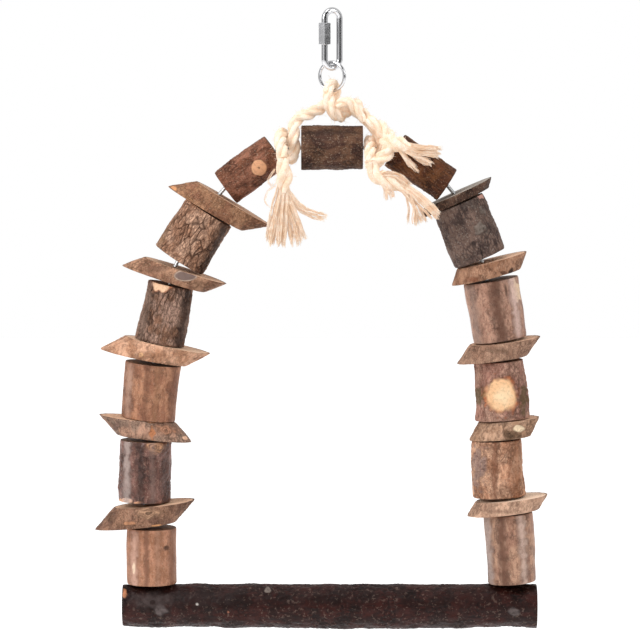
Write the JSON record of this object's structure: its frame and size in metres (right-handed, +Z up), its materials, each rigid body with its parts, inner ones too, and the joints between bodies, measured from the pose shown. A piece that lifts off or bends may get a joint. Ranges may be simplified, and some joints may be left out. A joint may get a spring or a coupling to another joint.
{
  "type": "bird swing",
  "caption": "Hanging arch swing for a caged bird: bark-covered logs and slanted branch slices on a wire over a wooden perch, hung by sisal rope from a ring and a screw link.",
  "frame": {"origin": "inside of the quick link's top bend, where it hangs on a cage bar or hook", "axes": "+Z up, +X along the perch to the viewer's right, front is -Y"},
  "size_m": [0.2192, 0.0386, 0.2997],
  "materials": {
    "steel": "polished zinc plate",
    "sisal": "natural twisted fibre",
    "wood_dark": "dark rough bark",
    "wood_charcoal": "dark grey bark with lichen",
    "wood_brown": "brown bark",
    "wood_bark": "cracked bark",
    "wood_umber": "grey-brown bark",
    "wood_rose": "smooth reddish bark",
    "wood_tan": "light tan bark",
    "wood_olive": "olive-brown bark",
    "wood_grey": "grey-tan bark",
    "perch_wood": "dark maroon bark with pale specks"
  },
  "bodies": {
    "link": {"quick_link": "steel"},
    "sleeve": {"link_sleeve": "steel"},
    "ring": {"hanging_ring": "steel"},
    "arch": {"rope": "sisal", "rope_tail_left": "sisal", "rope_tail_upper": "sisal", "rope_tail_lower": "sisal", "arch_wire": "steel", "perch": "perch_wood"},
    "top_log": {"top_log": "wood_dark"},
    "left_log_1": {"left_log_1": "wood_brown"},
    "left_log_2": {"left_log_2": "wood_bark"},
    "left_log_3": {"left_log_3": "wood_umber"},
    "left_log_4": {"left_log_4": "wood_rose"},
    "left_log_5": {"left_log_5": "wood_umber"},
    "left_log_6": {"left_log_6": "wood_tan"},
    "left_slice_1": {"left_slice_1": "wood_olive"},
    "left_slice_2": {"left_slice_2": "wood_olive"},
    "left_slice_3": {"left_slice_3": "wood_tan"},
    "left_slice_4": {"left_slice_4": "wood_tan"},
    "left_slice_5": {"left_slice_5": "wood_olive"},
    "right_log_1": {"right_log_1": "wood_dark"},
    "right_log_2": {"right_log_2": "wood_charcoal"},
    "right_log_3": {"right_log_3": "wood_rose"},
    "right_log_4": {"right_log_4": "wood_olive"},
    "right_log_5": {"right_log_5": "wood_rose"},
    "right_log_6": {"right_log_6": "wood_tan"},
    "right_slice_1": {"right_slice_1": "wood_charcoal"},
    "right_slice_2": {"right_slice_2": "wood_rose"},
    "right_slice_3": {"right_slice_3": "wood_grey"},
    "right_slice_4": {"right_slice_4": "wood_tan"},
    "right_slice_5": {"right_slice_5": "wood_tan"}
  },
  "joints": [
    {"name": "sleeve_slide", "type": "slide", "parent": "link", "child": "sleeve", "axis": [0, 0, -1], "range_m": [0, 0.0065]},
    {"name": "ring_swing", "type": "hinge", "parent": "link", "child": "ring", "pos_m": [0, 0, -0.0258], "axis": [0.866, 0.5, 0], "range_deg": [-30, 30]},
    {"name": "arch_swing", "type": "hinge", "parent": "ring", "child": "arch", "pos_m": [0, 0, -0.0366], "axis": [0.866, -0.5, 0], "range_deg": [-35, 35]},
    {"name": "top_log_spin", "type": "hinge", "parent": "arch", "child": "top_log", "pos_m": [0, 0, -0.0639], "axis": [1, 0, 0], "continuous": true},
    {"name": "left_log_1_spin", "type": "hinge", "parent": "arch", "child": "left_log_1", "pos_m": [-0.03908, 0, -0.07429], "axis": [0.808, 0, 0.5892], "continuous": true},
    {"name": "left_slice_1_spin", "type": "hinge", "parent": "arch", "child": "left_slice_1", "pos_m": [-0.05642, 0, -0.09027], "axis": [0.515, 0, 0.8572], "continuous": true},
    {"name": "left_log_2_spin", "type": "hinge", "parent": "arch", "child": "left_log_2", "pos_m": [-0.06636, 0, -0.10612], "axis": [0.5373, 0, 0.8434], "continuous": true},
    {"name": "left_slice_2_spin", "type": "hinge", "parent": "arch", "child": "left_slice_2", "pos_m": [-0.07634, 0, -0.12438], "axis": [0.309, 0, 0.9511], "continuous": true},
    {"name": "left_log_3_spin", "type": "hinge", "parent": "arch", "child": "left_log_3", "pos_m": [-0.08082, 0, -0.14323], "axis": [0.2079, 0, 0.9781], "continuous": true},
    {"name": "left_slice_3_spin", "type": "hinge", "parent": "arch", "child": "left_slice_3", "pos_m": [-0.08471, 0, -0.16154], "axis": [0.2079, 0, 0.9781], "continuous": true},
    {"name": "left_log_4_spin", "type": "hinge", "parent": "arch", "child": "left_log_4", "pos_m": [-0.08728, 0, -0.1808], "axis": [0.1045, 0, 0.9945], "continuous": true},
    {"name": "left_slice_4_spin", "type": "hinge", "parent": "arch", "child": "left_slice_4", "pos_m": [-0.08917, 0, -0.19879], "axis": [0.1045, 0, 0.9945], "continuous": true},
    {"name": "left_log_5_spin", "type": "hinge", "parent": "arch", "child": "left_log_5", "pos_m": [-0.09002, 0, -0.2192], "axis": [0.0209, 0, 0.9998], "continuous": true},
    {"name": "left_slice_5_spin", "type": "hinge", "parent": "arch", "child": "left_slice_5", "pos_m": [-0.08976, 0, -0.24063], "axis": [-0.1011, 0, 0.9949], "continuous": true},
    {"name": "left_log_6_spin", "type": "hinge", "parent": "arch", "child": "left_log_6", "pos_m": [-0.08911, 0, -0.26063], "axis": [-0.0052, 0, 1], "continuous": true},
    {"name": "right_log_1_spin", "type": "hinge", "parent": "arch", "child": "right_log_1", "pos_m": [0.04238, 0, -0.07344], "axis": [-0.8339, 0, 0.5519], "continuous": true},
    {"name": "right_slice_1_spin", "type": "hinge", "parent": "arch", "child": "right_slice_1", "pos_m": [0.05933, 0, -0.08779], "axis": [-0.4147, 0, 0.91], "continuous": true},
    {"name": "right_log_2_spin", "type": "hinge", "parent": "arch", "child": "right_log_2", "pos_m": [0.0659, 0, -0.10344], "axis": [-0.3827, 0, 0.9239], "continuous": true},
    {"name": "right_slice_2_spin", "type": "hinge", "parent": "arch", "child": "right_slice_2", "pos_m": [0.07296, 0, -0.12239], "axis": [-0.2419, 0, 0.9703], "continuous": true},
    {"name": "right_log_3_spin", "type": "hinge", "parent": "arch", "child": "right_log_3", "pos_m": [0.07646, 0, -0.14191], "axis": [-0.1564, 0, 0.9877], "continuous": true},
    {"name": "right_slice_3_spin", "type": "hinge", "parent": "arch", "child": "right_slice_3", "pos_m": [0.07934, 0, -0.16114], "axis": [-0.1219, 0, 0.9925], "continuous": true},
    {"name": "right_log_4_spin", "type": "hinge", "parent": "arch", "child": "right_log_4", "pos_m": [0.08092, 0, -0.18021], "axis": [-0.0698, 0, 0.9976], "continuous": true},
    {"name": "right_slice_4_spin", "type": "hinge", "parent": "arch", "child": "right_slice_4", "pos_m": [0.08231, 0, -0.19901], "axis": [-0.0872, 0, 0.9962], "continuous": true},
    {"name": "right_log_5_spin", "type": "hinge", "parent": "arch", "child": "right_log_5", "pos_m": [0.08335, 0, -0.21791], "axis": [-0.0436, 0, 0.999], "continuous": true},
    {"name": "right_slice_5_spin", "type": "hinge", "parent": "arch", "child": "right_slice_5", "pos_m": [0.08438, 0, -0.23608], "axis": [-0.1045, 0, 0.9945], "continuous": true},
    {"name": "right_log_6_spin", "type": "hinge", "parent": "arch", "child": "right_log_6", "pos_m": [0.08584, 0, -0.25678], "axis": [-0.0628, 0, 0.998], "continuous": true}
  ]
}
